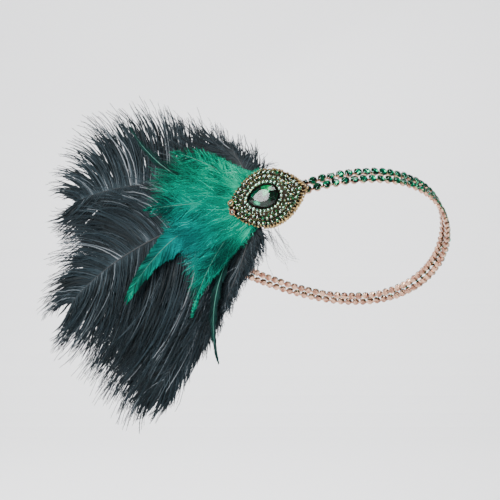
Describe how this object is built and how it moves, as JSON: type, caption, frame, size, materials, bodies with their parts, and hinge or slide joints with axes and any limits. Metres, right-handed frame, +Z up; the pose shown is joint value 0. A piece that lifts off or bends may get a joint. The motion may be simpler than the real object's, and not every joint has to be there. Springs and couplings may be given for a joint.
{
  "type": "flapper headband",
  "caption": "Feathered headband: a loop of green crystal cup chain with a pointed jewelled brooch and a fan of black plumes and green hackles at one side.",
  "frame": {"origin": "middle of the chain loop, where it is worn", "axes": "+Z up, -Y out of the front, +X to the right seen from the front; the loop rides high in front and low behind"},
  "size_m": [0.2628, 0.1691, 0.198],
  "materials": {
    "emerald_stone": "foil-backed cut emerald crystal in pale gold cups",
    "pale_gold": "polished pale rose gold plate",
    "smoky_stone": "small foil-backed smoky green stones",
    "mint_stone": "tiny pale mint stones",
    "black_feather": "soft black plume barbs",
    "green_feather": "dyed green hackle barbs"
  },
  "bodies": {
    "root": {"lower_crystal_row": "emerald_stone", "upper_crystal_row": "emerald_stone", "ostrich_plume_upper": "black_feather", "ostrich_plume_lower": "black_feather", "ostrich_plume_left": "black_feather", "marabou_tuft_upper": "black_feather", "marabou_tuft_lower": "black_feather", "hackle_upper_spear": "green_feather", "hackle_long": "green_feather", "hackle_lower_spear": "green_feather", "hackle_upper": "green_feather", "hackle_left": "green_feather", "hackle_lower": "green_feather", "brooch_plate": "pale_gold", "stone_field": "smoky_stone", "inner_stone_ring": "mint_stone", "pear_setting": "pale_gold", "pear_crystal": "emerald_stone", "ringed_stone_upper": "smoky_stone", "ringed_stone_lower": "smoky_stone"}
  },
  "joints": []
}
